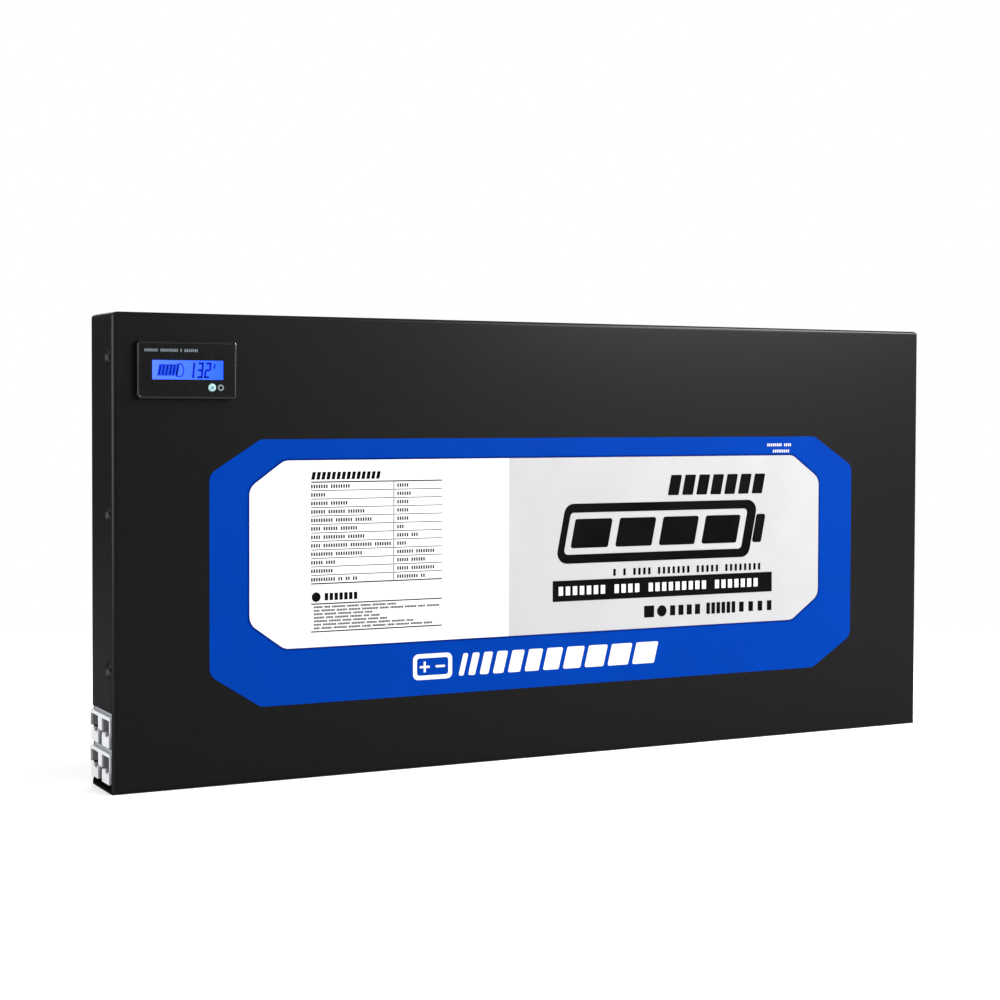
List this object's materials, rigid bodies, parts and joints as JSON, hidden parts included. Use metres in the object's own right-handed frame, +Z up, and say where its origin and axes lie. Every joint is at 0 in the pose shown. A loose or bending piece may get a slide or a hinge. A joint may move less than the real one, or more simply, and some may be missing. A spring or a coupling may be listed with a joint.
{
  "type": "deep cycle battery",
  "caption": "Slim wall-type deep cycle battery in a black folded steel case, with a printed front label, a capacity meter with a push button, and stacked power connectors at one end.",
  "frame": {"origin": "centre of the bottom face that the case stands on, midway between the case front and back faces", "axes": "+X along the case, away from the connectors; the front face with the label looks towards -Y; +Z up"},
  "size_m": [0.661, 0.0563, 0.315],
  "materials": {
    "powder_coat": "fine-textured satin black powder coat",
    "zinc_steel": "zinc plated",
    "black_steel": "black oxide",
    "label_blue": "satin printed vinyl",
    "grey_nylon": "moulded",
    "connector_white": "moulded polycarbonate",
    "silver_plate": "silver plated copper",
    "spring_steel": "stainless",
    "copper": "bare copper",
    "black_plastic": "moulded, satin",
    "clear_window": "clear, polished",
    "lcd_blue": "blue backlight",
    "circuit_board": "solder mask",
    "button_teal": "translucent moulded",
    "red_insulation": "silicone",
    "cell_pouch": "aluminium laminate",
    "tab_aluminium": "bare",
    "grey_foam": "closed-cell foam",
    "fibre_sheet": "vulcanised fibre",
    "heat_sink": "mill finish",
    "brass": "turned",
    "shunt_metal": "alloy strip"
  },
  "bodies": {
    "case": {"rear_tray": "powder_coat", "front_cover": "powder_coat", "left_nut_bar": "zinc_steel", "right_nut_bar": "zinc_steel", "top_nut_bar": "zinc_steel", "bottom_nut_bar": "zinc_steel", "left_screws": "black_steel", "right_screws": "black_steel", "top_screws": "black_steel", "bottom_screws": "black_steel", "front_label": "label_blue", "connector_cradle": "grey_nylon", "upper_connector_housing": "connector_white", "lower_connector_housing": "connector_white", "positive_contacts": "silver_plate", "negative_contacts": "silver_plate", "contact_springs": "spring_steel", "connector_pins": "spring_steel", "positive_bus": "copper", "negative_bus": "copper", "meter_bezel": "black_plastic", "meter_window": "clear_window", "lcd_panel": "lcd_blue", "meter_pod": "black_plastic", "meter_clips": "black_plastic", "meter_board": "circuit_board", "button_switch": "black_plastic", "meter_lead": "red_insulation", "cell_1": "cell_pouch", "cell_2": "cell_pouch", "cell_3": "cell_pouch", "cell_4": "cell_pouch", "positive_tabs": "tab_aluminium", "negative_tabs": "copper", "series_links": "copper", "front_foam": "grey_foam", "rear_foam": "grey_foam", "base_pad": "grey_foam", "end_pad": "grey_foam", "cell_dividers": "fibre_sheet", "bay_partition": "fibre_sheet", "tab_cover": "fibre_sheet", "bms_board": "circuit_board", "bms_heat_sink": "heat_sink", "bms_transistors": "black_plastic", "bms_standoffs": "brass", "bms_screws": "zinc_steel", "bms_chips": "black_plastic", "current_shunt": "shunt_metal", "balance_plug": "connector_white", "balance_harness": "red_insulation", "pack_negative_strap": "copper", "pack_positive_cable": "red_insulation", "positive_lug": "silver_plate", "junction_lug": "silver_plate", "junction_bolt": "zinc_steel"},
    "button": {"meter_button": "button_teal"}
  },
  "joints": [
    {"name": "meter_button_press", "type": "slide", "parent": "case", "child": "button", "axis": [0, 1, 0], "range_m": [0, 0.0005], "stiffness_N_per_m": 400}
  ]
}
